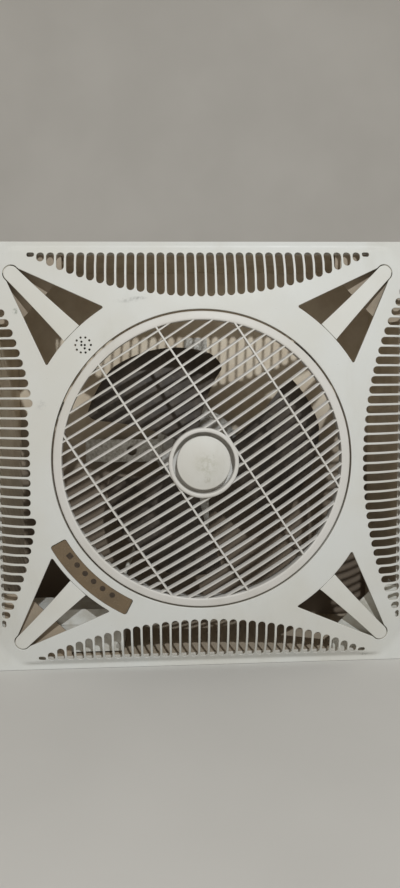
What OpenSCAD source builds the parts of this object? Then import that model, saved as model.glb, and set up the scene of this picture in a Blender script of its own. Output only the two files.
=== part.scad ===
// Ceiling circulation fan for a 600 mm tile grid: square slotted fascia, turning louvre disc,
// three-blade impeller on an induction motor, closed sheet housing. It stands upright here:
// +Z up, +X to the right, the fascia looks along -Y, and the origin is at the middle of the
// footprint, on the floor. Modules are drawn lying down (x right, y up, z out of the fascia,
// z = 0 on the back of the flange) and place() stands them up.

/* [Fascia] */
// Side of the square fascia, made to lie on a 600 mm grid
side = 595; // [590:1:598]
// Thickness of the flat flange
flange_t = 3; // [2.4:0.2:3.6]
// Wall of the moulded fascia
wall = 2.6; // [2.2:0.1:3]
// Height of the fascia beside the disc, above the back of the flange
crown_z = 35; // [34.6:0.1:35.4]
// Radius of the round well that the disc turns in
well_r = 203.6; // [203.2:0.1:204.4]

/* [Intake slots] */
// Slots along each side
slot_n = 35; // [25:2:35]
// Distance between neighbouring slots
slot_pitch = 13.4; // [13:0.1:13.5]
// Width of one slot
slot_w = 10.4; // [8:0.2:10.8]
// Outer end of every slot, from the middle of the fascia
slot_out = 282; // [278:0.5:283]
// Inner end of the middle slot, from the middle of the fascia
slot_in = 220; // [216:0.5:221]
// Radius of the arc that the inner ends lie on
slot_arc = 490; // [485:5:540]

/* [Corner windows] */
// Radius of the windows' inner edge
win_in = 244; // [242:1:248]
// Radius of the windows' points
win_tip = 360; // [352:1:361]
// Half angle of the whole opening at its inner edge
win_half = 13; // [11:0.5:13.5]
// Half width of a corner cover at its root
cover_root = 14.5; // [13:0.5:15]
// Half width of a corner cover at its tip
cover_tip = 10.3; // [9.5:0.1:10.6]

/* [Louvre disc] */
// Outer radius of the disc
disc_r = 200.9; // [200.6:0.1:202]
// Inner radius of the flat rim
rim_in = 189.2; // [186:0.2:191]
// Rise of the disc from its rim to its hub
dome_rise = 24; // [14:1:26]
// Slats across the disc
slat_n = 29; // [21:2:29]
// Distance between neighbouring slats
slat_pitch = 13.6; // [13.4:0.1:14.2]
// Slope of the slats against the floor
slat_angle = 32.5; // [0:0.5:45]
// Lean of each slat away from square to the disc
slat_lean = 12; // [0:1:20]
// Depth of a slat from front to back
slat_depth = 8; // [6:0.5:12]
// Distance between the four cross ribs
rib_gap = 91; // [84:1:94]

/* [Impeller] */
// Radius over the blade tips
tip_r = 179; // [170:1:186]
// Half the angle that one blade covers at its tip
blade_half = 45; // [38:0.5:46]
// Pitch of the blades
blade_pitch = 13; // [8:1:14]

/* [Housing] */
// Outside width of the sheet housing, which passes a 570 mm opening
box_w = 562; // [556:1:564]
// Depth of the housing behind the flange
box_d = 150; // [146:1:156]
// Sheet thickness of the housing
sheet = 1.2; // [1:0.1:1.5]
// Distance between the hanging holes
hang_gap = 450; // [444:1:452]
// Radius of the hanging holes
hang_r = 4.5; // [4:0.25:5.5]

/* [Hidden] */
$fn = 64;
cut_r = 134.5;               // radius of the slope on each side
cut_y = 201.4;               // where its axis lies
cut_z = crown_z + 0.2 - cut_r;
crown_h = (pow(360, 2) - pow(203, 2) - pow(26, 2)) / 52; // the crown is part of a ball: 35 high at 203 mm, 9 high at 360 mm
crown_r = sqrt(pow(203, 2) + pow(crown_h + 26, 2));
flat_z = 8;                  // lowest point of the disc's skirt
wheel_r = 14;                // rollers that carry the disc
skirt_r = 196;
wheel_at = skirt_r + 0.3 + wheel_r;
drive_a = 45;
idler_a = [160, 250, 330];
led_a = [for (i = [0:5]) 214.9 + 4.1 * i];
led_rad = 222;
buzz_r = 222.4;
buzz_a = 135.1;
hub_out = 46.5;
hub_in = 41;
cap_r = 35.8;
dome_top = 36.2 + dome_rise;
dome_s = (pow(disc_r, 2) + pow(dome_rise, 2)) / (2 * dome_rise); // radius of the disc's front
front_most = 63.4;           // top of the centre cap
depth_all = front_most + box_d;
half_w = box_w / 2;
corner_sx = [-1, 1, -1, 1];
corner_sy = [1, 1, -1, -1];
gland_z = -48;
foot_x = [-232, -150];

// Stands a lying part upright on the floor, middled on its own depth.
module place() {
    translate([0, (front_most - box_d) / 2, side / 2]) rotate([90, 0, 0]) children();
}
module at(r, a) { translate([r * cos(a), r * sin(a), 0]) children(); }

// ---- fascia surfaces -------------------------------------------------------
module crown(off) {
    rotate_extrude() intersection() {
        translate([0, crown_z - crown_h - 26]) circle(r = crown_r - off, $fn = 256);
        translate([150, -3]) square([262, 60]);
    }
}
// Everything outside the slope of one side, which falls to the flange in flat strips.
module slope(off) {
    r = cut_r - off;
    translate([-330, 0, 0]) rotate([90, 0, 90]) linear_extrude(660) polygon(concat(
        [[cut_y, 60]],
        [for (a = [0:6:48]) [cut_y + r * sin(a), cut_z + r * cos(a)]],
        [[cut_y + 130, cut_z + r * cos(48)], [cut_y + 130, 60]]));
}
module skin(off, low) {
    difference() {
        intersection() {
            crown(off);
            translate([-293, -293, low]) cube([586, 586, 60]);
        }
        for (a = [0:90:270]) rotate([0, 0, a]) slope(off);
    }
}

function arc_y(v) = slot_in + slot_arc - sqrt(pow(slot_arc, 2) - v * v);
// Outline of one slot with round ends; it runs from y0 to y1 at x.
// A slot shorter than its width has smaller corner rounds.
function slot_pts(x, y0, y1, w) = let (r = min(w, y1 - y0) / 2, g = w / 2 - r) concat(
    [for (i = [0:5]) let (a = 180 + 36 * i) [x + (i < 3 ? -g : g) + r * cos(a), y0 + r + r * sin(a)]],
    [for (i = [0:5]) let (a = 36 * i) [x + (i < 3 ? g : -g) + r * cos(a), y1 - r + r * sin(a)]]);
module slots(short) {
    m = (slot_n - 1) / 2;
    for (i = [-m:m]) {
        x = i * slot_pitch;
        y0 = arc_y(x) + (short && abs(i) < 6 ? 12 - 0.12 * i * i : 0);
        polygon(slot_pts(x, y0, slot_out, slot_w));
    }
}
// Whole opening at a corner: two windows and the gap round the cover's end.
module corner_hole() {
    u0 = win_in * cos(win_half);
    v0 = win_in * sin(win_half);
    g = cover_tip + 1.3;
    polygon(concat(
        [for (i = [-8:8]) let (a = win_half * i / 8) [win_in * cos(a), win_in * sin(a)]],
        [for (i = [0:12]) let (a = 90 - 15 * i) [win_tip - (i == 0 ? 3.4 : (i == 12 ? 3.4 : 0)) + g * cos(a), g * sin(a)]]));
}
function cover_half(t) = cover_tip + (cover_root - cover_tip) * pow(1 - t, 1.7);
module cover_shape(in_r) {
    polygon(concat(
        [for (i = [8:-1:0]) [in_r + (win_tip - in_r) * i / 8, -cover_half(i / 8)]],
        [for (i = [0:8]) [in_r + (win_tip - in_r) * i / 8, cover_half(i / 8)]],
        [for (i = [1:11]) let (a = 90 - 15 * i) [win_tip + cover_tip * cos(a), cover_tip * sin(a)]]));
}
module ring_piece(r0, r1, a0, a1) {
    n = 16;
    polygon(concat(
        [for (i = [0:n]) let (a = a0 + (a1 - a0) * i / n) [r0 * cos(a), r0 * sin(a)]],
        [for (i = [n:-1:0]) let (a = a0 + (a1 - a0) * i / n) [r1 * cos(a), r1 * sin(a)]]));
}
module tube(r1, r0, z0, z1) {
    translate([0, 0, z0]) difference() {
        cylinder(r = r1, h = z1 - z0);
        translate([0, 0, -1]) cylinder(r = r0, h = z1 - z0 + 2);
    }
}
module rod(r, z0, z1) { translate([0, 0, z0]) cylinder(r = r, h = z1 - z0); }

module front_panel() place() color("ivory") difference() {
    union() {
        difference() {
            union() {
                translate([-side / 2, -side / 2, 0]) cube([side, side, flange_t]);
                skin(0, 0);
            }
            skin(wall, -1);
            translate([0, 0, -1]) cylinder(r = 202, h = 30);
            for (a = [45:90:315]) rotate([0, 0, a]) translate([0, 0, -1]) linear_extrude(60) corner_hole();
        }
        // collar of the disc's well
        tube(206, 202.5, 26, 33.4);
        // ledges under the four corner covers, each with a screw pocket
        for (a = [45:90:315]) rotate([0, 0, a]) {
            intersection() {
                difference() { crown(2.2); crown(4.8); }
                translate([234, -7, 0.2]) cube([144, 14, 60]);
            }
            intersection() {
                translate([238 * sqrt(2), 0, 0]) cylinder(r = 8, h = 11.6);
                crown(2.4);
            }
        }
        // bosses for the rollers, the small motor, the board and the buzzer
        intersection() {
            union() {
                for (a = idler_a) at(wheel_at, a) rod(5, 24, 36);
                for (s = [-1, 1]) rotate([0, 0, drive_a]) translate([223, 31 * s, 0]) rod(4.5, 6, 36);
                for (a = [212, 240]) at(229, a) rod(3.2, 16, 36);
                at(buzz_r, buzz_a) rod(13.4, 22, 36);
            }
            crown(1.2);
        }
    }
    translate([0, 0, 20]) cylinder(r = well_r, h = 40);
    for (a = [0, 90, 180, 270]) rotate([0, 0, a]) translate([0, 0, -1]) linear_extrude(50) slots(a == 90);
    // pockets for the panel screws
    for (a = [45:90:315]) rotate([0, 0, a]) translate([238 * sqrt(2), 0, 0]) {
        rod(2.8, -1, 20);
        rod(5.4, 4, 20);
    }
    // clip openings in the ledges
    for (a = [45:90:315]) rotate([0, 0, a]) for (u = [262, 300])
        translate([u - 4.4, -1.3, 0]) cube([8.8, 2.6, 31]);
    for (a = idler_a) at(wheel_at, a) rod(2.02, 20, 31.6);
    for (s = [-1, 1]) rotate([0, 0, drive_a]) translate([223, 31 * s, 0]) rod(1.6, 0, 20);
    for (a = [212, 240]) at(229, a) rod(1.2, 10, 26);
    // buzzer pocket and its sound holes
    at(buzz_r, buzz_a) {
        rod(11.3, 20, 29);
        for (i = [0:9]) rotate([0, 0, 36 * i]) translate([10.4, 0, 0]) rod(1.5, 24, 40);
        for (k = [[-4.6, 1.6], [-1.6, -1.6], [1.6, 1.6], [4.6, -1.6]]) rotate([0, 0, -45]) translate([k[0], k[1], 0]) rod(1.5, 24, 40);
    }
    // seat and light window of the indicator lens
    linear_extrude(50) ring_piece(217, 235, 210.2, 241.6);
    intersection() {
        linear_extrude(50) ring_piece(213.8, 238.2, 208.8, 243);
        difference() { translate([-300, -300, 0]) cube([300, 300, 50]); crown(1.9); }
    }
}
module corner_cover(k) place() color("ivory")
    rotate([0, 0, [135, 45, 225, 315][k]]) {
        intersection() {
            difference() { crown(0); crown(2); }
            translate([0, 0, 1]) linear_extrude(60) cover_shape(win_in + 0.25);
        }
        for (u = [262, 300]) intersection() {
            translate([u - 4, -0.9, u == 262 ? 18.5 : 12.5]) cube([8, 1.8, 12]);
            crown(0.7);
        }
    }
module corner_cover_tl() { corner_cover(0); }
module corner_cover_tr() { corner_cover(1); }
module corner_cover_bl() { corner_cover(2); }
module corner_cover_br() { corner_cover(3); }

module panel_screws() place() color("silver")
    for (a = [45:90:315]) rotate([0, 0, a]) translate([238 * sqrt(2), 0, 0]) difference() {
        union() { rod(2.4, -4.6, 4); rod(4.6, 4, 6.8); }
        translate([0, 0, 5.6]) for (r = [0, 90]) rotate([0, 0, r]) translate([-2.8, -0.5, 0]) cube([5.6, 1, 3]);
    }

// Sheet bracket in each corner of the housing, with the hole for a hanging rod.
module hanger_bracket(k) place() color("gainsboro") mirror([corner_sx[k] < 0 ? 1 : 0, 0, 0]) mirror([0, corner_sy[k] < 0 ? 1 : 0, 0]) {
    e = half_w - sheet;
    difference() {
        union() {
            translate([0, 0, -2]) linear_extrude(2) polygon([[e, e], [e - 92, e], [e - 92, e - 30], [e - 30, e - 92], [e, e - 92]]);
            translate([e - 2, e - 92, -30]) cube([2, 90, 29]);
            translate([e - 92, e - 2, -30]) cube([92, 2, 29]);
        }
        translate([hang_gap / 2, hang_gap / 2, 0]) rod(hang_r, -5, 5);
        translate([238, 238, 0]) rod(2.5, -5, 5);
        for (i = [0, 1]) {
            translate([e - 70 + 44 * i, e, -18]) rotate([90, 0, 0]) rod(1.62, -5, 10);
            translate([e, e - 70 + 44 * i, -18]) rotate([0, 90, 0]) rod(1.62, -10, 5);
        }
    }
}
module hanger_bracket_tl() { hanger_bracket(0); }
module hanger_bracket_tr() { hanger_bracket(1); }
module hanger_bracket_bl() { hanger_bracket(2); }
module hanger_bracket_br() { hanger_bracket(3); }

module indicator_lens() place() color("saddlebrown") intersection() {
    difference() { crown(-0.2); crown(1.8); }
    linear_extrude(50) ring_piece(214, 238, 209, 242.8);
}
module indicator_board() place() color("darkgreen") difference() {
    translate([0, 0, 14.4]) linear_extrude(1.6) ring_piece(210, 238, 208, 244);
    for (a = [212, 240]) at(229, a) rod(1.5, 10, 20);
}
module indicator_leds() place() color("whitesmoke") for (i = [0:5]) at(led_rad, led_a[i])
    if (i == 0) translate([-2.5, -2.5, 16]) cube([5, 5, 10]); else { rod(2.9, 16, 17); rod(2.5, 16.5, 26); }
module infrared_receiver() place() color("black") at(233, 226) translate([-3.5, -3, 16]) cube([7, 6, 8]);
module board_screws() place() color("silver") for (a = [212, 240]) at(229, a) { rod(1.15, 12, 22); rod(2.6, 12.6, 14.4); }
module buzzer() place() color("black") at(buzz_r, buzz_a) difference() { rod(11, 19, 28.6); rod(1.2, 27, 30); }

// ---- turning louvre disc ---------------------------------------------------
module disc_front(off) { translate([0, 0, dome_top - dome_s]) sphere(r = dome_s - off, $fn = 200); }
module disc_shell() {
    intersection() {
        tube(rim_in + 1, hub_in + 1, 10, 80);
        difference() { disc_front(0.6); disc_front(0.6 + slat_depth); }
    }
}
module louvre_disc() place() color("ivory") difference() {
    union() {
        intersection() {
            disc_shell();
            rotate([0, 0, slat_angle]) union() {
                for (i = [0:slat_n - 1]) translate([0, (i - (slat_n - 1) / 2) * slat_pitch, 46])
                    rotate([slat_lean, 0, 0]) cube([2 * rim_in + 8, 1.9, 70], center = true);
                for (i = [-1.5:1.5]) translate([i * rib_gap, 0, 46]) cube([2.6, 2 * rim_in + 8, 70], center = true);
            }
        }
        // rim, skirt and the track that the rollers carry
        rotate_extrude() polygon([[rim_in, 26], [193, 26], [193, flat_z], [skirt_r, flat_z], [skirt_r, 16], [198.5, 16],
            [198.5, 18], [skirt_r, 18], [skirt_r, 31], [disc_r, 31], [disc_r, 35.2], [disc_r - 1.2, 36.2], [rim_in + 2, 38], [rim_in, 38]]);
        // hub ring and the floor that the centre cap stands on
        tube(hub_out, hub_in, 40, 61.4);
        rod(hub_in + 1, 42, 45);
        rod(9, 44, 55);
    }
    rod(2.1, 30, 70);
}
module louvre_cap() place() color("ivory") difference() {
    union() {
        intersection() {
            translate([0, 0, front_most - 140]) difference() { sphere(r = 140, $fn = 128); sphere(r = 137.5, $fn = 128); }
            rod(cap_r, 40, 80);
        }
        tube(cap_r, cap_r - 2.2, 46, 57.4);
        rod(6, 55.2, 62);
    }
    rod(1.7, 40, 59);
}
module louvre_cap_screw() place() color("silver") { rod(1.65, 42, 58.6); rod(4.2, 38.4, 42); }

// ---- disc drive ------------------------------------------------------------
module roller(bore, hub) difference() {
    rotate_extrude() polygon([[bore, 12], [wheel_r - 0.6, 12], [wheel_r, 12.6], [wheel_r, 15.2], [wheel_r - 3.4, 15.6],
        [wheel_r - 3.4, 18.4], [wheel_r, 18.8], [wheel_r, 21.4], [wheel_r - 0.6, 22], [hub, 22], [hub, 22.6], [bore, 22.6]]);
    for (a = [0:60:300]) at(8, a) rod(1.5, 10, 24);
}
module drive_wheel() place() color("dimgray") at(wheel_at, drive_a) roller(2.52, 5);
module idler(k) place() color("white") at(wheel_at, idler_a[k]) roller(2.06, 4.4);
module idler_left() { idler(0); }
module idler_bottom() { idler(1); }
module idler_right() { idler(2); }
module idler_screws() place() color("silver") for (a = idler_a) at(wheel_at, a) difference() {
    union() { rod(2, 9, 31); rod(4, 8.6, 11.7); }
    translate([-0.5, -3, 8]) cube([1, 6, 1.4]);
}
module louvre_motor() place() color("lightgray") rotate([0, 0, drive_a]) {
    translate([223, 0, 0]) {
        rod(24.5, -16, 4);
        difference() {
            union() { rod(25.2, 3, 4.6); translate([-7, -36, 4]) cube([14, 72, 2]); }
            for (s = [-1, 1]) translate([0, 31 * s, 0]) rod(2.1, 0, 10);
        }
    }
    translate([wheel_at, 0, 0]) { rod(5, 4, 9.6); rod(2.5, 5, 23); }
}
module louvre_motor_screws() place() color("silver") rotate([0, 0, drive_a]) for (s = [-1, 1]) translate([223, 31 * s, 0]) {
    rod(1.55, 0, 16);
    rod(3.4, -0.4, 4);
}

// ---- housing ---------------------------------------------------------------
// Folded sheet: a back plate and four walls, each wall with its lip along the front.
module housing_back() place() color("tan") difference() {
    translate([-half_w, -half_w, -box_d]) cube([box_w, box_w, sheet]);
    for (a = [0:90:270]) rotate([0, 0, a]) translate([163, 0, 0]) rod(2.1, -box_d - 2, -box_d + 5);
}
module housing_wall(a, long) place() color("tan") difference() {
    rotate([0, 0, a]) {
        w = long ? half_w : half_w - sheet;
        e = long ? half_w + 10.5 : half_w;
        translate([half_w - sheet, -w, -box_d + sheet]) cube([sheet, 2 * w, box_d - sheet]);
        translate([half_w, -e, -sheet]) cube([10.5, 2 * e, sheet]);
    }
    e = half_w;
    for (k = [0:3]) for (i = [0, 1]) mirror([corner_sx[k] < 0 ? 1 : 0, 0, 0]) mirror([0, corner_sy[k] < 0 ? 1 : 0, 0]) {
        if (long) translate([e - sheet - 70 + 44 * i, e, -18]) rotate([90, 0, 0]) rod(1.62, -5, 10);
        else translate([e, e - sheet - 70 + 44 * i, -18]) rotate([0, 90, 0]) rod(1.62, -10, 5);
    }
    if (a == 180) translate([-half_w, -246, gland_z]) rotate([0, 90, 0]) rod(8.05, -5, 5);
    if (a == 270) for (x = foot_x) translate([x, -half_w, -44]) rotate([-90, 0, 0]) rod(2.1, -3, 3);
}
module housing_right() { housing_wall(0, false); }
module housing_top() { housing_wall(90, true); }
module housing_left() { housing_wall(180, false); }
module housing_bottom() { housing_wall(270, true); }
module bracket_rivets() place() color("silver") for (k = [0:3]) for (i = [0, 1])
    mirror([corner_sx[k] < 0 ? 1 : 0, 0, 0]) mirror([0, corner_sy[k] < 0 ? 1 : 0, 0]) {
        e = half_w - sheet;
        translate([e - 70 + 44 * i, e, -18]) rotate([90, 0, 0]) { rod(1.6, -sheet, 2); rod(3.2, 2, 3); rod(3.2, -sheet - 1, -sheet); }
        translate([e, e - 70 + 44 * i, -18]) rotate([0, -90, 0]) { rod(1.6, -sheet, 2); rod(3.2, 2, 3); rod(3.2, -sheet - 1, -sheet); }
    }

// ---- motor -----------------------------------------------------------------
bk = -box_d + sheet;
module motor_bracket() place() color("silver") difference() {
    union() {
        rod(66, bk + 10, bk + 12);
        for (a = [0:90:270]) rotate([0, 0, a]) {
            translate([50, -18, bk + 10]) cube([100, 36, 2]);
            translate([148, -18, bk]) cube([2, 36, 11]);
            translate([148, -18, bk]) cube([30, 36, 2]);
        }
    }
    rod(17, bk, bk + 20);
    for (a = [45:90:315]) at(49, a) rod(2.3, bk, bk + 20);
    for (a = [0:90:270]) rotate([0, 0, a]) {
        translate([163, 0, 0]) rod(2.1, bk - 2, bk + 5);
        translate([104, 0, 0]) rod(8, bk, bk + 20);
    }
}
module motor_bracket_screws() place() color("silver") for (a = [0:90:270]) rotate([0, 0, a]) translate([163, 0, 0]) {
    rod(2, bk - sheet, bk + 4.4);
    translate([0, 0, bk + 2]) cylinder(r = 4.2, h = 3.2, $fn = 6);
}
m0 = bk + 12;               // back of the motor
module bell(z0, z1, dir) {   // cup with a bearing seat; dir is +1 when its floor is at the low end
    zf = dir > 0 ? z0 : z1 - 3;
    difference() {
        rod(56, z0, z1);
        rod(52.5, dir > 0 ? z0 + 3 : z0 - 1, dir > 0 ? z1 + 1 : z1 - 3);
        for (a = [45:90:315]) at(49, a) rod(2.3, z0 - 1, z1 + 1);
        for (a = [0:45:315]) rotate([0, 0, a + 22.5]) translate([24, -3.5, z0 - 1]) cube([18, 7, z1 - z0 + 2]);
        rod(10, z0 - 1, z1 + 1);
    }
    difference() {
        rod(16, dir > 0 ? z0 : z1 - 14, dir > 0 ? z0 + 14 : z1);
        rod(8.02, z0 - 1, z1 + 1);
    }
    for (a = [45:90:315]) at(49, a) difference() { rod(5, z0, z1); rod(2.3, z0 - 1, z1 + 1); }
}
module rear_bell() place() color("silver") bell(m0, m0 + 24, 1);
module front_bell() place() color("silver") bell(m0 + 48, m0 + 72, -1);
module stator_core() place() color("lightsteelblue") difference() {
    rod(56, m0 + 24, m0 + 48);
    rod(30.2, m0 + 20, m0 + 50);
    for (a = [45:90:315]) at(49, a) rod(2.3, m0 + 20, m0 + 50);
    for (a = [0:22.5:337.5]) rotate([0, 0, a]) translate([33, -1.6, m0 + 20]) cube([9, 3.2, 30]);
}
module stator_windings() place() color("peru") for (z = [m0 + 12, m0 + 48]) translate([0, 0, z])
    rotate_extrude() polygon([[31.5, 0], [42, 0], [43, 1.5], [43, 9], [41, 12], [34, 12], [31, 9], [31, 1]]);
module rear_bearing() place() color("goldenrod") tube(8, 4.04, m0 + 1, m0 + 13);
module front_bearing() place() color("goldenrod") tube(8, 4.04, m0 + 59, m0 + 71);
module motor_bolts() place() color("silver") for (a = [45:90:315]) at(49, a) {
    rod(2.2, bk + 5, m0 + 74.5);
    translate([0, 0, bk + 6.6]) cylinder(r = 4, h = 3.4, $fn = 6);
    translate([0, 0, m0 + 72]) cylinder(r = 4, h = 3.2, $fn = 6);
}
module rotor_core() place() color("slategray") difference() {
    rod(29.6, m0 + 24, m0 + 48);
    rod(4.01, m0 + 20, m0 + 50);
    for (a = [0:20:340]) at(26, a) rod(1.6, m0 + 20, m0 + 50);
}
module rotor_shaft() place() color("silver") {
    rod(4, m0 - 4, m0 + 24);
    rod(4, m0 + 24, m0 + 48);
    rod(4, m0 + 48, m0 + 112);
    rod(6, m0 + 73, m0 + 76);
}
// Petal outline: narrow root, wide tip with round corners; t runs outwards and s from edge to edge.
function tip_at(a) = tip_r - 0.55 * max(0, 13 - a) - 0.22 * max(0, a - 13);
function petal(t, s) =
    let (k = t > 0.86 ? sqrt(1 - pow((t - 0.86) / 0.14, 2) * (s > 0 ? 0.14 : 0.38)) : 1)
    let (a = (blade_half * s - 4) * (0.50 + 0.50 * pow(t, 0.75)) * k)
    let (r = 22 + (tip_at(a) - 22) * t) [r * cos(a), r * sin(a)];
module petal_shape() {
    n = 18;
    polygon(concat(
        [for (i = [0:n]) petal(i / n, -1)],
        [for (k = [1:11]) petal(1, -1 + k / 6)],
        [for (i = [n:-1:0]) petal(i / n, 1)]));
}
imp_z = m0 + 84;            // back of the impeller hub
module impeller() place() color("#2b2320") difference() {
    union() {
        rod(31, imp_z, imp_z + 26);
        for (a = [121, 1, -119]) rotate([0, 0, a]) intersection() {
            translate([0, 0, imp_z - 40]) linear_extrude(110) petal_shape();
            translate([0, 0, imp_z + 13]) rotate([blade_pitch, 0, 0]) translate([10, 0, -300])
                rotate([0, 90, 0]) difference() { cylinder(r = 301.2, h = 200, $fn = 200); translate([0, 0, -1]) cylinder(r = 298.8, h = 202, $fn = 200); }
        }
    }
    rod(4.02, imp_z - 10, imp_z + 60);
    rod(13, imp_z - 10, imp_z + 3);
}
module impeller_nut() place() color("dimgray") difference() {
    union() { translate([0, 0, imp_z + 26]) cylinder(r = 11, h = 8, $fn = 6); rod(13, imp_z + 26, imp_z + 28); }
    rod(4.02, imp_z + 20, imp_z + 32.2);
}

// ---- electrics -------------------------------------------------------------
cb = [-272, -276.4, -66];    // low corner of the control box
cs = [158, 62, 58];
module box_posts(r) { for (x = [8, cs[0] - 8]) for (y = [8, cs[1] - 8]) translate([cb[0] + x, cb[1] + y, 0]) rod(r, cb[2] + 1, cb[2] + cs[2]); }
module control_box() place() color("white") difference() {
    union() {
        difference() {
            translate(cb) cube(cs);
            translate(cb + [2, 2, 2]) cube(cs - [4, 4, 0]);
        }
        box_posts(3.4);
        for (x = foot_x) translate([x - 8, -half_w + sheet, -56]) cube([16, cb[1] + half_w - sheet + 1, 24]);
    }
    for (x = [8, cs[0] - 8]) for (y = [8, cs[1] - 8]) translate([cb[0] + x, cb[1] + y, 0]) rod(1.55, cb[2] + 40, 0);
    for (x = foot_x) translate([x, -half_w, -44]) rotate([-90, 0, 0]) rod(1.8, -3, 9);
    translate([-280, -246, gland_z]) rotate([0, 90, 0]) rod(8.4, 0, 12);
    translate([-132, -225, -34]) rotate([-90, 0, 0]) rod(3.6, 0, 20);
    translate([-200, -225, -24]) rotate([-90, 0, 0]) rod(2.6, 0, 20);
}
module control_box_screws() place() color("silver") for (x = foot_x) translate([x, -half_w, -44]) rotate([-90, 0, 0]) {
    rod(1.75, 0, 6.4);
    rod(3.6, -2, 0);
}
module control_box_lid() place() color("white") difference() {
    union() {
        translate([cb[0], cb[1], cb[2] + cs[2]]) cube([cs[0], cs[1], 1.8]);
        translate([cb[0] + 24, cb[1] + 18, cb[2] + cs[2] + 1]) cube([cs[0] - 48, 2, 1.8]);
        translate([cb[0] + 24, cb[1] + 40, cb[2] + cs[2] + 1]) cube([cs[0] - 48, 2, 1.8]);
    }
    for (x = [8, cs[0] - 8]) for (y = [8, cs[1] - 8]) translate([cb[0] + x, cb[1] + y, 0]) rod(1.7, -20, 0);
}
module lid_screws() place() color("silver") for (x = [8, cs[0] - 8]) for (y = [8, cs[1] - 8])
    translate([cb[0] + x, cb[1] + y, cb[2] + cs[2]]) { rod(1.5, -9, 1.8); rod(3, 1.8, 3.4); }
module control_board() place() color("darkgreen") translate(cb) {
    translate([56, 4, 8]) cube([84, 54, 1.6]);
    translate([62, 8, 9]) cube([18, 14, 14]);
    translate([84, 30, 9]) cube([14, 12, 11]);
    translate([104, 10, 9]) cube([22, 8, 5]);
    for (x = [61, 135]) for (y = [10, 52]) translate([x, y, 2]) cylinder(r = 2.5, h = 7);
}
module run_capacitor() place() color("beige") translate(cb) {
    translate([26, 20, 2]) cube([16, 36, 22]);
    for (y = [30, 46]) translate([31, y, 23]) cube([6, 0.8, 6]);
}
module terminal_block() place() color("ivory") translate(cb + [14, 14, 2]) difference() {
    cube([9, 22, 12]);
    for (i = [0:2]) translate([4.5, 4 + 7 * i, 0]) rod(1.6, 4, 20);
}
module cable_gland() place() color("dimgray") translate([-half_w, -246, gland_z]) rotate([0, 90, 0]) difference() {
    union() {
        rod(8, -10, 14);
        translate([0, 0, -6]) cylinder(r = 11.5, h = 6, $fn = 6);
        rod(9.6, -13, -6);
    }
    rod(4.2, -20, 20);
}
module gland_nut() place() color("dimgray") translate([-half_w + sheet, -246, gland_z]) rotate([0, 90, 0]) difference() {
    cylinder(r = 11.5, h = 5, $fn = 6);
    rod(8.04, -1, 8);
}
// Insulated leads, clipped along the housing.
module link(a, b, r) {
    d = b - a;
    l = norm(d);
    translate(a) rotate([0, acos(d[2] / l), atan2(d[1], d[0])]) cylinder(r = r, h = l, $fn = 24);
}
module lead(p, r) { for (i = [0:len(p) - 2]) link(p[i], p[i + 1], r); for (i = [1:len(p) - 2]) translate(p[i]) sphere(r = r * 1.02, $fn = 24); }
module motor_lead() place() color("white")
    lead([[-132, -224, -34], [-132, -206, -34.6], [-120, -192, -66], [-104, -160, -112], [-84, -108, -128], [-62, -62, -127], [-45, -37, -125]], 3);
module indicator_lead() place() color("white")
    lead([[-200, -224, -24], [-200, -206, -24], [-186, -190, -8], [-172, -168, 4], [-165, -156, 12.2]], 2);

front_panel();
corner_cover_tl();
corner_cover_tr();
corner_cover_bl();
corner_cover_br();
panel_screws();
hanger_bracket_tl();
hanger_bracket_tr();
hanger_bracket_bl();
hanger_bracket_br();
indicator_lens();
indicator_board();
indicator_leds();
infrared_receiver();
board_screws();
buzzer();
louvre_disc();
louvre_cap();
louvre_cap_screw();
drive_wheel();
louvre_motor();
louvre_motor_screws();
idler_left();
idler_bottom();
idler_right();
idler_screws();
housing_back();
housing_top();
housing_bottom();
housing_left();
housing_right();
bracket_rivets();
motor_bracket();
motor_bracket_screws();
rear_bell();
front_bell();
rear_bearing();
front_bearing();
stator_core();
stator_windings();
motor_bolts();
rotor_core();
rotor_shaft();
impeller();
impeller_nut();
control_box();
control_box_screws();
control_box_lid();
lid_screws();
control_board();
run_capacitor();
terminal_block();
cable_gland();
gland_nut();
motor_lead();
indicator_lead();
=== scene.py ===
import math

import bpy
import numpy as np
from mathutils import Matrix, Vector, kdtree
from mathutils.geometry import delaunay_2d_cdt


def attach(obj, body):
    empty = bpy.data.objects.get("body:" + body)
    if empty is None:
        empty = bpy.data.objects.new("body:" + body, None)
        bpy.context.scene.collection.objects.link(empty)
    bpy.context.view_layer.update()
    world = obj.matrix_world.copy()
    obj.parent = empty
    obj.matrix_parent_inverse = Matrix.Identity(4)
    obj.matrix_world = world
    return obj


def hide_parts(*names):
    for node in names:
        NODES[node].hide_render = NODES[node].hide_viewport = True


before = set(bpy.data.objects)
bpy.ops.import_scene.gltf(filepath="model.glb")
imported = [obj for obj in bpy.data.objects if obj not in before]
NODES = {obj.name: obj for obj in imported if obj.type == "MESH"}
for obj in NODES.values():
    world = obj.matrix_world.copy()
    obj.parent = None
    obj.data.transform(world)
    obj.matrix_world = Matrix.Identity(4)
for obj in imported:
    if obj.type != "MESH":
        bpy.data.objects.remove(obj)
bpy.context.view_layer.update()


# ---- frame ------------------------------------------------------------------
# Shapes are worked out lying down, in millimetres: x right, y up, z out of the fascia.
def W(p):
    return (p[0] / 1000.0, (-p[2] - 43.3) / 1000.0, (p[1] + 297.5) / 1000.0)


def D(n):
    return (n[0], -n[2], n[1])


def rot(axis, a):
    c, s = math.cos(a), math.sin(a)
    if axis == "x":
        return np.array([[1, 0, 0], [0, c, -s], [0, s, c]])
    if axis == "y":
        return np.array([[c, 0, s], [0, 1, 0], [-s, 0, c]])
    return np.array([[c, -s, 0], [s, c, 0], [0, 0, 1]])


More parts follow.
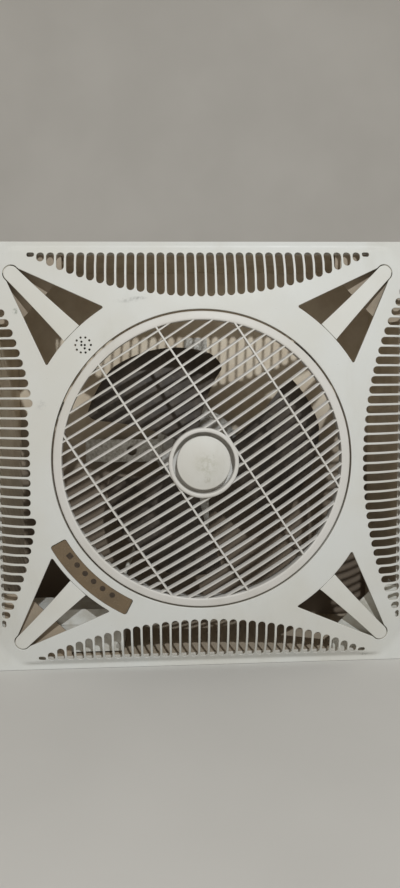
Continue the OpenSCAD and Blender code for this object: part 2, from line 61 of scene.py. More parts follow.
# ---- camera -----------------------------------------------------------------
cam_data = bpy.data.cameras.new("camera")
cam_data.lens = 27.69
cam_data.sensor_width = 36.0
cam_data.clip_start = 0.01
camera = bpy.data.objects.new("camera", cam_data)
bpy.context.scene.collection.objects.link(camera)
CR = rot("z", -0.0142) @ rot("x", -0.0835) @ rot("y", -0.0518)
cols = [D(CR[:, i]) for i in range(3)]
cm = Matrix.Identity(4)
for i in range(3):
    for j in range(3):
        cm[j][i] = cols[i][j]
cpos = W((-50.36, 100.87, 952.23))
for j in range(3):
    cm[j][3] = cpos[j]
camera.matrix_world = cm
bpy.context.scene.camera = camera


# ---- materials --------------------------------------------------------------
class Mat:
    def __init__(self, name, **kw):
        self.m = bpy.data.materials.new(name)
        self.m.use_nodes = True
        self.t = self.m.node_tree
        self.n = self.t.nodes
        self.b = self.n["Principled BSDF"]
        for k, v in kw.items():
            self.b.inputs[k.replace("_", " ")].default_value = v
        self.co = self.n.new("ShaderNodeTexCoord").outputs["Object"]

    def node(self, kind, **kw):
        n = self.n.new(kind)
        for k, v in kw.items():
            setattr(n, k, v)
        return n

    def link(self, a, b):
        self.t.links.new(a, b)

    def mapped(self, scale=(1, 1, 1), rotation=(0, 0, 0)):
        n = self.node("ShaderNodeMapping")
        n.inputs["Scale"].default_value = scale
        n.inputs["Rotation"].default_value = rotation
        self.link(self.co, n.inputs["Vector"])
        return n.outputs[0]

    def noise(self, scale, detail=4.0, rough=0.55, co=None, distort=0.0):
        n = self.node("ShaderNodeTexNoise")
        n.inputs["Scale"].default_value = scale
        n.inputs["Detail"].default_value = detail
        n.inputs["Roughness"].default_value = rough
        n.inputs["Distortion"].default_value = distort
        self.link(co or self.co, n.inputs["Vector"])
        return n.outputs["Fac"]

    def ramp(self, fac, lo, hi, a=0.0, b=1.0):
        n = self.node("ShaderNodeMapRange", interpolation_type="SMOOTHSTEP")
        n.inputs["From Min"].default_value = lo
        n.inputs["From Max"].default_value = hi
        n.inputs["To Min"].default_value = a
        n.inputs["To Max"].default_value = b
        self.link(fac, n.inputs["Value"])
        return n.outputs["Result"]

    def mix(self, fac, a, b):
        n = self.node("ShaderNodeMix", data_type="RGBA")
        if isinstance(fac, float):
            n.inputs[0].default_value = fac
        else:
            self.link(fac, n.inputs[0])
        for sock, v in ((n.inputs[6], a), (n.inputs[7], b)):
            if isinstance(v, (tuple, list)):
                sock.default_value = (*v, 1.0)
            else:
                self.link(v, sock)
        return n.outputs[2]

    def math(self, op, a, b=0.0):
        n = self.node("ShaderNodeMath", operation=op)
        for sock, v in ((n.inputs[0], a), (n.inputs[1], b)):
            if isinstance(v, (int, float)):
                sock.default_value = v
            else:
                self.link(v, sock)
        return n.outputs[0]

    def bump(self, height, strength, dist=0.001, after=None):
        n = self.node("ShaderNodeBump")
        n.inputs["Strength"].default_value = strength
        n.inputs["Distance"].default_value = dist
        self.link(height, n.inputs["Height"])
        if after is not None:
            self.link(after, n.inputs["Normal"])
        self.link(n.outputs[0], self.b.inputs["Normal"])
        return n.outputs[0]

    def spot(self, p, r, stretch=(1, 1, 1)):
        """1 at a point of the object, falling to 0 at radius r (metres); abs_mat breaks it up by noise."""
        n = self.node("ShaderNodeVectorMath", operation="SUBTRACT")
        self.link(self.co, n.inputs[0])
        n.inputs[1].default_value = p
        m = self.node("ShaderNodeVectorMath", operation="MULTIPLY")
        self.link(n.outputs[0], m.inputs[0])
        m.inputs[1].default_value = stretch
        k = self.node("ShaderNodeVectorMath", operation="LENGTH")
        self.link(m.outputs[0], k.inputs[0])
        return self.ramp(k.outputs["Value"], r, r * 0.2)

    def color(self, s):
        if isinstance(s, (tuple, list)):
            self.b.inputs["Base Color"].default_value = (*s, 1.0)
        else:
            self.link(s, self.b.inputs["Base Color"])

    def rough(self, s):
        self.link(s, self.b.inputs["Roughness"])


def abs_mat(name, base, aged, marks=(), dirty=0.25, rough=(0.42, 0.6)):
    m = Mat(name)
    big = m.ramp(m.noise(7.0, 3.0), 0.35, 0.7)
    c = m.mix(big, base, aged)
    streak = m.ramp(m.noise(16.0, 6.0, 0.62, m.mapped((1.0, 1.0, 0.35))), 0.52, 0.8, 0.0, dirty)
    c = m.mix(streak, c, (aged[0] * 0.72, aged[1] * 0.70, aged[2] * 0.64))
    speck = m.ramp(m.noise(420.0, 2.0), 0.70, 0.80, 0.0, 0.35)
    c = m.mix(speck, c, (aged[0] * 0.5, aged[1] * 0.46, aged[2] * 0.40))
    brk = m.ramp(m.noise(160.0, 5.0, 0.7), 0.38, 0.62)
    for p, r, st, tint, amount in marks:
        s = m.math("MULTIPLY", m.math("MULTIPLY", m.spot(p, r, st), brk), amount)
        c = m.mix(s, c, tint)
    m.color(c)
    m.rough(m.ramp(m.noise(24.0, 5.0, 0.6), 0.3, 0.75, rough[0], rough[1]))
    fine = m.bump(m.noise(1500.0, 2.0), 0.05, 0.0002)
    m.bump(m.noise(9.0, 2.0), 0.06, 0.004, fine)
    m.b.inputs["Specular IOR Level"].default_value = 0.32
    return m.m


def plain(name, base, dark, scale=60.0, rough=(0.4, 0.6), metal=0.0, bump=0.1, grain=(1, 1, 1), detail=5.0, dist=0.0004):
    m = Mat(name, Metallic=metal)
    co = m.mapped(grain)
    m.color(m.mix(m.ramp(m.noise(scale, detail, 0.6, co), 0.35, 0.7), base, dark))
    m.rough(m.ramp(m.noise(scale * 1.7, 4.0, 0.6, co), 0.3, 0.7, rough[0], rough[1]))
    m.bump(m.noise(scale * 4.0, 3.0, 0.6, co), bump, dist)
    return m.m


# ---- mesh tools -------------------------------------------------------------
class Shape:
    """Vertices, faces, a normal for each face corner (or None) and a material index for each face."""

    def __init__(self):
        self.v, self.f, self.n, self.m = [], [], [], []

    def vert(self, p):
        self.v.append(tuple(float(c) for c in p))
        return len(self.v) - 1

    def face(self, idx, normals=None, mat=0):
        self.f.append(tuple(idx))
        self.n.append(normals)
        self.m.append(mat)

    def add(self, other):
        k = len(self.v)
        self.v += other.v
        self.f += [tuple(i + k for i in f) for f in other.f]
        self.n += other.n
        self.m += other.m
        return self

    def turned(self, a):
        c, s = math.cos(a), math.sin(a)
        r = lambda p: (p[0] * c - p[1] * s, p[0] * s + p[1] * c, p[2])
        o = Shape()
        o.v = [r(p) for p in self.v]
        o.f = list(self.f)
        o.n = [None if n is None else [r(q) for q in n] for n in self.n]
        o.m = list(self.m)
        return o

    def make(self, name, mats, body, nodes=(), slot=None, angle=32.0):
        me = bpy.data.meshes.new(name)
        me.from_pydata([W(p) for p in self.v], [], self.f)
        for mt in mats:
            me.materials.append(mt)
        me.polygons.foreach_set("material_index", self.m)
        me.polygons.foreach_set("use_smooth", [True] * len(self.f))
        me.update()
        if any(n is not None for n in self.n):
            loops = []
            for poly, n in zip(me.polygons, self.n):
                if n is None:
                    loops += [tuple(poly.normal)] * len(poly.vertices)
                else:
                    loops += [tuple(Vector(D(q)).normalized()) for q in n]
            me.normals_split_custom_set(loops)
        else:
            me.set_sharp_from_angle(angle=math.radians(angle))
        ob = bpy.data.objects.new(name, me)
        bpy.context.scene.collection.objects.link(ob)
        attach(ob, body)
        if nodes:
            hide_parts(*nodes)
        return ob


def arc(cx, cy, r, a0, a1, n):
    """n + 1 points; angles in degrees."""
    return [(cx + r * math.cos(math.radians(a0 + (a1 - a0) * i / n)), cy + r * math.sin(math.radians(a0 + (a1 - a0) * i / n))) for i in range(n + 1)]


def rounded(pts, radii, seg=4):
    """Rounds the corners of a closed outline. radii is one number or one for each corner."""
    n = len(pts)
    out = []
    for i in range(n):
        r = radii if isinstance(radii, (int, float)) else radii[i]
        p = np.array(pts[i], float)
        if r <= 0:
            out.append(tuple(p))
            continue
        a, b = np.array(pts[i - 1], float) - p, np.array(pts[(i + 1) % n], float) - p
        la, lb = np.linalg.norm(a), np.linalg.norm(b)
        a, b = a / la, b / lb
        half = math.acos(max(-1, min(1, float(a @ b)))) / 2
        if half > math.radians(86):
            out.append(tuple(p))
            continue
        t = min(r / math.tan(half), 0.49 * la, 0.49 * lb)
        rr = t * math.tan(half)
        c = p + (a + b) / np.linalg.norm(a + b) * (rr / math.sin(half))
        s, e = p + a * t - c, p + b * t - c
        a0, a1 = math.atan2(s[1], s[0]), math.atan2(e[1], e[0])
        d = (a1 - a0 + math.pi) % (2 * math.pi) - math.pi
        for k in range(seg + 1):
            w = a0 + d * k / seg
            out.append((c[0] + rr * math.cos(w), c[1] + rr * math.sin(w)))
    return out


def refine(pts, step):
    """Splits long sides of a closed outline."""
    out = []
    n = len(pts)
    for i in range(n):
        a, b = np.array(pts[i]), np.array(pts[(i + 1) % n])
        k = max(1, int(math.ceil(np.linalg.norm(b - a) / step)))
        for j in range(k):
            out.append(tuple(a + (b - a) * j / k))
    return out


def clean(pts, eps=0.02):
    out = []
    for p in pts:
        if not out or math.dist(p, out[-1]) > eps:
            out.append(p)
    if math.dist(out[0], out[-1]) <= eps:
        out.pop()
    return out


def area(pts):
    return 0.5 * sum(p[0] * q[1] - q[0] * p[1] for p, q in zip(pts, pts[1:] + pts[:1]))


def turn(pts, deg):
    c, s = math.cos(math.radians(deg)), math.sin(math.radians(deg))
    return [(p[0] * c - p[1] * s, p[0] * s + p[1] * c) for p in pts]


class Edge:
    """One boundary of a moulded sheet. Normals point into the material; fillet is the edge radius."""

    def __init__(self, pts, fillet, outer=False, kind="through", deep=0.5, mat=0):
        pts = clean(pts)
        if (area(pts) > 0) == outer:
            pts = pts[::-1]
        self.p = np.array(pts)
        t = np.roll(self.p, -1, 0) - np.roll(self.p, 1, 0)
        t /= np.linalg.norm(t, axis=1)[:, None]
        self.n = np.stack([t[:, 1], -t[:, 0]], 1)
        self.f, self.outer, self.kind, self.deep, self.mat = fillet, outer, kind, deep, mat


def cdt(loops, grid):
    """Triangles between the first loop and the rest. Returns points, triangles and, for each loop, its vertex numbers."""
    verts, faces = [], []
    for lp in loops:
        k = len(verts)
        verts += [tuple(p) for p in lp]
        idx = list(range(k, k + len(lp)))
        if area([tuple(p) for p in lp]) < 0:
            idx = idx[::-1]
        faces.append(idx)
    verts += grid
    vo, _, fo, ov, _, of = delaunay_2d_cdt([Vector(v) for v in verts], [], faces, 0, 1e-6)
    back = {}
    for i, src in enumerate(ov):
        for s in src:
            back[s] = i
    tris = [tuple(f) for f, o in zip(fo, of) if list(o) == [0]]
    idx, k = [], 0
    for lp in loops:
        idx.append([back[k + i] for i in range(len(lp))])
        k += len(lp)
    return [(v[0], v[1]) for v in vo], tris, idx


def sheet_body(edges, top, low, step, mats=(0, 1), rings=3, well=None):
    """A closed moulded sheet: top(x, y) outside, low(x, y) inside, rounded edges and straight walls."""
    sh = Shape()

    def normal(fn, x, y):
        h = 0.05
        g = np.stack([-(fn(x + h, y) - fn(x - h, y)) / (2 * h), -(fn(x, y + h) - fn(x, y - h)) / (2 * h), np.ones_like(x)], -1)
        return g / np.linalg.norm(g, axis=-1)[..., None]

    def layer(loops, fn, flip, mat):
        allp = np.concatenate([np.array(lp) for lp in loops])
        tree = kdtree.KDTree(len(allp))
        for i, p in enumerate(allp):
            tree.insert((p[0], p[1], 0), i)
        tree.balance()
        lo, hi = allp.min(0), allp.max(0)
        grid = []
        ny = int((hi[1] - lo[1]) / (step * 0.866)) + 1
        nx = int((hi[0] - lo[0]) / step) + 1
        for j in range(ny + 1):
            for i in range(nx + 1):
                p = (lo[0] + (i + 0.5 * (j % 2)) * step, lo[1] + j * step * 0.866)
                if p[0] < hi[0] and p[1] < hi[1] and tree.find((p[0], p[1], 0))[2] > step * 0.42:
                    grid.append(p)
        pts, tris, idx = cdt(loops, grid)
        xy = np.array(pts)
        z = fn(xy[:, 0], xy[:, 1])
        nn = normal(fn, xy[:, 0], xy[:, 1]) * (-1 if flip else 1)
        used = sorted({i for t in tris for i in t})
        num = {}
        for i in used:
            num[i] = sh.vert((xy[i, 0], xy[i, 1], z[i]))
        for t in tris:
            a, b, c = t
            s = (xy[b, 0] - xy[a, 0]) * (xy[c, 1] - xy[a, 1]) - (xy[c, 0] - xy[a, 0]) * (xy[b, 1] - xy[a, 1])
            if (s < 0) != flip:
                t = t[::-1]
            sh.face([num[i] for i in t], [tuple(nn[i]) for i in t], mat)
        return [[num[i] for i in ix] for ix in idx]

    tops = layer([e.p + e.f * e.n for e in edges], top, False, mats[0])
    inner = [e for e in edges if e.kind != "recess"]
    lows = iter(layer([(e.p * (206.0 / 203.6) if e.kind == "well" else e.p) for e in inner], low, True, mats[1]))
    for e, ring0 in zip(edges, tops):
        n = len(e.p)
        q = e.p + e.f * e.n
        z0 = top(q[:, 0], q[:, 1])
        ns = normal(top, q[:, 0], q[:, 1])
        side = np.concatenate([-e.n, np.zeros((n, 1))], 1)
        prev, pn = ring0, ns
        for k in range(1, rings + 1):
            a = math.pi / 2 * k / rings
            xy = e.p + e.f * (1 - math.sin(a)) * e.n
            zz = z0 - e.f * (1 - math.cos(a))
            cur = [sh.vert((xy[i, 0], xy[i, 1], zz[i])) for i in range(n)]
            cn = math.cos(a) * ns + math.sin(a) * side
            cn /= np.linalg.norm(cn, axis=1)[:, None]
            for i in range(n):
                j = (i + 1) % n
                sh.face((prev[i], prev[j], cur[j], cur[i]), [tuple(pn[i]), tuple(pn[j]), tuple(cn[j]), tuple(cn[i])], mats[0])
            prev, pn = cur, cn

        def band(a, b, na, nb, mat):
            for i in range(n):
                j = (i + 1) % n
                sh.face((a[i], a[j], b[j], b[i]), [tuple(na[i]), tuple(na[j]), tuple(nb[j]), tuple(nb[i])], mat)

        if e.kind == "recess":
            zz = z0 - e.f - e.deep
            cur = [sh.vert((e.p[i, 0], e.p[i, 1], zz[i])) for i in range(n)]
            band(prev, cur, side, side, e.mat)
            c = e.p.mean(0)
            cz = float(zz.mean())
            mid = sh.vert((c[0], c[1], cz))
            for i in range(n):
                sh.face((cur[i], cur[(i + 1) % n], mid), [(0, 0, 1)] * 3, e.mat)
        elif e.kind == "well":
            ring = next(lows)
            a = [sh.vert((e.p[i, 0], e.p[i, 1], 26.0)) for i in range(n)]
            b = [sh.vert((e.p[i, 0] * 206.0 / 203.6, e.p[i, 1] * 206.0 / 203.6, 26.0)) for i in range(n)]
            down = np.tile([0, 0, -1.0], (n, 1))
            band(prev, a, side, side, mats[1])
            band(a, b, down, down, mats[1])
            band(b, ring, -side, -side, mats[1])
        else:
            band(prev, next(lows), side, side, mats[0] if e.outer else mats[1])
    return sh


def revolve(profile, n=192, mat=0, normals=False):
    """Turns a closed (r, z) outline, listed anticlockwise, about the z axis."""
    sh = Shape()
    k = len(profile)
    rings = []
    for r, z in profile:
        if r < 1e-6:
            rings.append([sh.vert((0, 0, z))] * n)
        else:
            rings.append([sh.vert((r * math.cos(2 * math.pi * i / n), r * math.sin(2 * math.pi * i / n), z)) for i in range(n)])
    for a in range(k):
        b = (a + 1) % k
        if profile[a][0] < 1e-6 and profile[b][0] < 1e-6:
            continue
        for i in range(n):
            j = (i + 1) % n
            f = [rings[a][i], rings[a][j], rings[b][j], rings[b][i]]
            g = []
            for q in f:
                if q not in g:
                    g.append(q)
            sh.face(g, None, mat)
    return sh


def sweep(sections, mat=0):
    """Joins closed rings of equal length into a body with flat ends."""
    sh = Shape()
    ids = [[sh.vert(p) for p in s] for s in sections]
    k = len(ids[0])
    for a, b in zip(ids, ids[1:]):
        for i in range(k):
            j = (i + 1) % k
            sh.face((a[i], b[i], b[j], a[j]), None, mat)
    sh.face(ids[0], None, mat)
    sh.face(ids[-1][::-1], None, mat)
    return sh


def brick(lo, hi, mat=0):
    (x0, y0, z0), (x1, y1, z1) = lo, hi
    return sweep([[(x, y0, z0), (x, y0, z1), (x, y1, z1), (x, y1, z0)] for x in (x0, x1)], mat)


# ---- surfaces ---------------------------------------------------------------
CROWN_H = (360 ** 2 - 203 ** 2 - 26 ** 2) / 52.0
CROWN_R = math.sqrt(203 ** 2 + (CROWN_H + 26) ** 2)
CUT_R, CUT_Y, CUT_Z = 134.5, 201.4, 35.2 - 134.5
DOME_S = (200.9 ** 2 + 24.0 ** 2) / 48.0


def crown(x, y):
    return np.sqrt(CROWN_R ** 2 - x * x - y * y) + 35.0 - CROWN_H - 26.0


def slope(t):
    t = np.abs(t)
    d = np.clip(t - CUT_Y, 0, 110.0)
    return np.where(t < CUT_Y, 35.2 + 0.03 * (CUT_Y - t), CUT_Z + np.sqrt(CUT_R ** 2 - d * d) - np.clip(t - CUT_Y - 110.0, 0, None))


def smin(a, b, k):
    h = np.clip(k - np.abs(a - b), 0, None) / k
    return np.minimum(a, b) - h * h * k * 0.25


def raw(x, y):
    return smin(smin(crown(x, y), slope(x), 1.1), slope(y), 1.1)


def face_top(x, y):
    z = raw(x, y)
    h = np.clip(1.0 - np.abs(z - 3.0), 0, None)
    return np.maximum(z, 3.0) + h * h * 0.25


def face_low(x, y):
    return np.maximum(raw(x, y) - 2.75, 0.0)


def dome(r):
    return 60.2 - DOME_S + math.sqrt(DOME_S ** 2 - r * r)


# ---- marks on the fascia ----------------------------------------------------
def on_face(x, y):
    z = float(face_top(np.array([x]), np.array([y]))[0])
    return W((x, y, z))


MARKS = [
    (on_face(-248.4, 203.3), 0.0055, (1, 1, 1), (0.09, 0.12, 0.08), 0.9),
    (on_face(-214.8, 78.0), 0.009, (1, 1, 1), (0.40, 0.40, 0.38), 0.6),
    (on_face(-84.3, 218.5), 0.016, (1, 1, 5), (0.22, 0.22, 0.21), 0.7),
    (on_face(-100.0, 215.0), 0.022, (1, 1, 6), (0.33, 0.33, 0.31), 0.5),
    (on_face(233.0, -287.5), 0.007, (1, 1, 2), (0.07, 0.06, 0.05), 0.9),
]


# ---- materials of the pieces ------------------------------------------------
WHITE, AGED = (0.600, 0.608, 0.590), (0.572, 0.566, 0.528)
m_abs = abs_mat("aged_abs", WHITE, AGED, MARKS)
m_abs_in = abs_mat("aged_abs_inside", (0.62, 0.595, 0.53), (0.56, 0.525, 0.45), (), 0.5, (0.45, 0.6))
m_cover = abs_mat("cover_abs", (0.62, 0.62, 0.59), (0.575, 0.565, 0.52), (), 0.2)
m_louvre = abs_mat("louvre_abs", (0.60, 0.585, 0.56), (0.55, 0.53, 0.49), (), 0.3, (0.42, 0.56))
m_cap = abs_mat("cap_abs", (0.58, 0.575, 0.545), (0.54, 0.52, 0.47),
                [(W((3, -2, 62)), 0.022, (1, 1, 1), (0.36, 0.35, 0.27), 0.5), (W((4, -22, 61)), 0.006, (1, 1, 1), (0.25, 0.22, 0.15), 0.8)], 0.35)

# ---- fascia -----------------------------------------------------------------
SLOT_IN, SLOT_ARC, SLOT_OUT, SLOT_W = 220.0, 490.0, 282.0, 10.4


def slot_outline(i, short):
    x = i * 13.4
    y0 = SLOT_IN + SLOT_ARC - math.sqrt(SLOT_ARC ** 2 - x * x)
    if short and abs(i) < 6:
        y0 += 12 - 0.12 * i * i
    r = min(SLOT_W, SLOT_OUT - y0) / 2
    g = SLOT_W / 2 - r
    q = arc(x + g, y0 + r, r, -90, 0, 4) + arc(x + g, SLOT_OUT - r, r, 0, 90, 4) + arc(x - g, SLOT_OUT - r, r, 90, 180, 4) + arc(x - g, y0 + r, r, 180, 270, 4)
    return refine(clean(q), 6.0)


def corner_outline():
    g = 11.6
    root = arc(0, 0, 244.0, -13, 13, 16)
    tip = [(360.0 - (3.4 if i in (0, 12) else 0) + g * math.cos(math.radians(90 - 15 * i)), g * math.sin(math.radians(90 - 15 * i))) for i in range(13)]
    pts = root + tip
    radii = [0.0] * len(pts)
    radii[0] = radii[16] = 2.0
    return refine(clean(rounded(pts, radii, 4)), 6.0)


def ring_outline(r0, r1, a0, a1, corner):
    p = arc(0, 0, r0, a0, a1, 20)[::-1] + arc(0, 0, r1, a0, a1, 20)
    radii = [0.0] * len(p)
    for i in (0, 20, 21, 41):
        radii[i] = corner
    return clean(rounded(p, radii, 5))


side_outline = refine(rounded([(-297.5, -297.5), (297.5, -297.5), (297.5, 297.5), (-297.5, 297.5)], 2.0, 4), 6.0)
edges = [Edge(side_outline, 0.9, outer=True), Edge(arc(0, 0, 203.6, 0, 360, 200)[:-1], 0.9, kind="well")]
corner = corner_outline()
for a in (45, 135, 225, 315):
    edges.append(Edge(turn(corner, a), 1.0))
for a in (0, 90, 180, 270):
    for i in range(-17, 18):
        edges.append(Edge(turn(slot_outline(i, a == 90), a), 0.75))
edges.append(Edge(ring_outline(213.8, 238.2, 208.8, 243.0, 4.6), 0.6))
bc = (222.4 * math.cos(math.radians(135.1)), 222.4 * math.sin(math.radians(135.1)))
for i in range(10):
    edges.append(Edge(arc(bc[0] + 10.4 * math.cos(math.radians(36 * i)), bc[1] + 10.4 * math.sin(math.radians(36 * i)), 1.5, 0, 360, 14)[:-1], 0.3))
for kx, ky in ((-4.6, 1.6), (-1.6, -1.6), (1.6, 1.6), (4.6, -1.6)):
    c, s = math.cos(math.radians(-45)), math.sin(math.radians(-45))
    edges.append(Edge(arc(bc[0] + kx * c - ky * s, bc[1] + kx * s + ky * c, 1.5, 0, 360, 14)[:-1], 0.3))
fascia = sheet_body(edges, face_top, face_low, 5.4)
for a in (45, 135, 225, 315):      # ledges under the corner covers
    secs = []
    for i in range(13):
        u = 234 + 144 * i / 12
        zz = float(crown(np.array([u]), np.array([0.0]))[0])
        secs.append([(u, -7, zz - 4.8), (u, -7, zz - 2.2), (u, 7, zz - 2.2), (u, 7, zz - 4.8)])
    fascia.add(sweep(secs, 1).turned(math.radians(a)))
fascia.make("fascia", [m_abs, m_abs_in], "root", ["front_panel"], "aged_white_abs")

# ---- corner covers ----------------------------------------------------------
def cover_outline():
    half = lambda t: 10.3 + 4.2 * (1 - t) ** 1.7
    u0 = 244.25
    low = [(u0 + (360 - u0) * i / 20, -half(i / 20)) for i in range(20, -1, -1)]
    high = [(u0 + (360 - u0) * i / 20, half(i / 20)) for i in range(21)]
    tip = [(360 + 10.3 * math.cos(math.radians(90 - 15 * i)), 10.3 * math.sin(math.radians(90 - 15 * i))) for i in range(1, 12)]
    return clean(low + high + tip)


def cover_top(x, y):
    return crown(x, y)


def cover_low(x, y):
    return crown(x, y) - 2.0


cov = sheet_body([Edge(cover_outline(), 0.9, outer=True)], cover_top, cover_low, 4.5, (0, 0))
for u in (262, 300):
    cov.add(brick((u - 4, -0.9, 18.5 if u == 262 else 12.5), (u + 4, 0.9, float(crown(np.array([u]), np.array([0.0]))[0]) - 1.0), 0))
for k, a in (("tl", 135), ("tr", 45), ("bl", 225), ("br", 315)):
    cov.turned(math.radians(a)).make("cover_" + k, [m_cover], "root", ["corner_cover_" + k], "aged_white_abs")

# ---- indicator lens ---------------------------------------------------------
ml = Mat("smoked_lens", Roughness=0.22)
edge_glow = ml.ramp(ml.noise(40.0, 3.0), 0.3, 0.8)
ml.color(ml.mix(edge_glow, (0.150, 0.105, 0.058), (0.115, 0.082, 0.048)))
ml.b.inputs["Coat Weight"].default_value = 0.4
ml.b.inputs["Coat Roughness"].default_value = 0.12
ml.b.inputs["IOR"].default_value = 1.49
ml.rough(ml.ramp(ml.noise(90.0, 5.0, 0.65), 0.35, 0.7, 0.2, 0.36))
ml.bump(ml.noise(220.0, 3.0), 0.04, 0.0003)
mw = Mat("lens_window", Roughness=0.3)
mw.color(mw.mix(mw.ramp(mw.noise(300.0, 3.0), 0.35, 0.7), (0.028, 0.018, 0.010), (0.05, 0.032, 0.018)))
mw.bump(mw.noise(500.0, 2.0), 0.05, 0.0002)
lens_edges = [Edge(ring_outline(214.0, 238.0, 209.0, 242.8, 4.4), 0.5, outer=True)]
for i in range(6):
    a = 214.9 + 4.1 * i
    cx, cy = 222 * math.cos(math.radians(a)), 222 * math.sin(math.radians(a))
    if i == 0:
        q = refine(rounded([(-3.9, -3.9), (3.9, -3.9), (3.9, 3.9), (-3.9, 3.9)], 0.6, 2), 2.0)
        q = [(x + cx, y + cy) for x, y in turn(q, 40)]
    else:
        q = arc(cx, cy, 3.9, 0, 360, 20)[:-1]
    lens_edges.append(Edge(q, 0.2, kind="recess", deep=0.35, mat=1))
lens = sheet_body(lens_edges, lambda x, y: crown(x, y) + 0.2, lambda x, y: crown(x, y) - 1.8, 4.0, (0, 0))
lens.make("lens", [ml.m, mw.m], "root", ["indicator_lens"], "smoked_lens")

# ---- louvre disc ------------------------------------------------------------
ANG = math.radians(32.5)
LEAN = math.radians(12.0)
rim = rounded([(189.2, 26), (193, 26), (193, 8), (196, 8), (196, 16), (198.5, 16), (198.5, 18), (196, 18), (196, 31), (200.9, 31), (200.9, 35.2), (199.6, 36.3), (191.6, 38), (189.2, 38)],
              [0.6, 0.8, 0.4, 0.4, 0.3, 0.3, 0.3, 0.3, 0.4, 0.5, 1.0, 1.4, 1.2, 1.4], 4)
disc = revolve(rim, 256)
disc.add(revolve(rounded([(41, 40), (46.5, 40), (46.5, 61.4), (41, 61.4)], [0.5, 0.5, 2.6, 1.6], 6), 160))
disc.add(revolve([(0, 42), (42.0, 42), (42.0, 45), (9.0, 45), (9.0, 55), (0, 55)], 96))


def front_z(r):
    return min(dome(r) - 0.6, 37.6 + max(0.0, 188.0 - r) * 0.5)


def slat(vc, u_from, u_to):
    """One slat; u_from and u_to are -1, 1 for the rim, or 0 for the hub ring, on that side."""
    box = [(-0.95, 0.0), (0.95, 0.0), (0.95, -8.2), (-0.95, -8.2)]
    ring = rounded(box, 0.62, 3)
    secs = []
    n = 44
    for k in range(n + 1):
        s = k / n
        sec = []
        for t, d in ring:
            h = -8.0
            for _ in range(3):      # the slat's own height sets how far across the disc it lies
                v = vc - h * math.sin(LEAN) + t * math.cos(LEAN)
                u0 = math.copysign(math.sqrt(max(0.0, (191.0 if abs(u_from) == 1 else 44.0) ** 2 - v * v)), u_from)
                u1 = math.copysign(math.sqrt(max(0.0, (191.0 if abs(u_to) == 1 else 44.0) ** 2 - v * v)), u_to)
                u = u0 + (u1 - u0) * s
                h = (front_z(math.hypot(u, v)) - 46.0) / math.cos(LEAN) + d
            v = vc - h * math.sin(LEAN) + t * math.cos(LEAN)
            z = 46.0 + h * math.cos(LEAN) + t * math.sin(LEAN)
            sec.append((u * math.cos(ANG) - v * math.sin(ANG), u * math.sin(ANG) + v * math.cos(ANG), z))
        secs.append(sec)
    return sweep(secs)


for i in range(1, 28):
    vc = (i - 14) * 13.6
    if abs(vc) < 43.0:
        disc.add(slat(vc, -1, -0.5))
        disc.add(slat(vc, 0.5, 1))
    else:
        disc.add(slat(vc, -1, 1))
for uc in (-136.5, -45.5, 45.5, 136.5):
    box = rounded([(1.25, -8.4), (1.25, 0.0), (-1.25, 0.0), (-1.25, -8.4)], 0.6, 3)
    secs = []
    for k in range(49):
        sec = []
        for t, d in box:
            u = uc + t
            v = math.sqrt(191.0 ** 2 - u * u) * (2 * k / 48 - 1)
            z = min(front_z(math.hypot(u, v)) + 0.3, dome(math.hypot(u, v)) - 0.1) + d
            sec.append((u * math.cos(ANG) - v * math.sin(ANG), u * math.sin(ANG) + v * math.cos(ANG), z))
        secs.append(sec)
    disc.add(sweep(secs))
disc.make("louvre", [m_louvre], "louvre", ["louvre_disc"], "louvre_abs")

cap_pts = [(0.0, 60.6)]
for k in range(1, 9):
    r = 32.8 * k / 8
    cap_pts.append((r, 63.4 - 140 + math.sqrt(137.4 ** 2 - r * r)))
cap_pts += [(33.6, 46.0), (35.8, 46.0)]
edge_z = 63.4 - 140 + math.sqrt(140 ** 2 - 33.4 ** 2)
cap_pts += arc(33.8, edge_z - 2.0, 2.0, 0, 72, 6)
for k in range(20, 0, -1):
    r = 33.4 * k / 20
    cap_pts.append((r, 63.4 - 140 + math.sqrt(140 ** 2 - r * r)))
cap_pts.append((0.0, 63.4))
cap = revolve(cap_pts, 128)
cap.add(revolve([(0.0, 55.2), (6.0, 55.2), (6.0, 62.0), (0.0, 62.0)], 48))
cap.make("louvre_cap_top", [m_cap], "louvre", ["louvre_cap"], "louvre_abs")

# ---- impeller ---------------------------------------------------------------
IMP = -150 + 1.2 + 12 + 84
m_blade = Mat("dusty_blade", Roughness=0.55)
dust = m_blade.ramp(m_blade.noise(34.0, 6.0, 0.65), 0.42, 0.75)
streaks = m_blade.ramp(m_blade.noise(120.0, 5.0, 0.7), 0.5, 0.8, 0.0, 0.55)
cb = m_blade.mix(dust, (0.036, 0.027, 0.020), (0.078, 0.060, 0.045))
m_blade.color(m_blade.mix(streaks, cb, (0.165, 0.138, 0.108)))
m_blade.rough(m_blade.ramp(m_blade.noise(60.0, 4.0), 0.35, 0.7, 0.38, 0.7))
m_blade.bump(m_blade.noise(300.0, 4.0), 0.12, 0.0005)


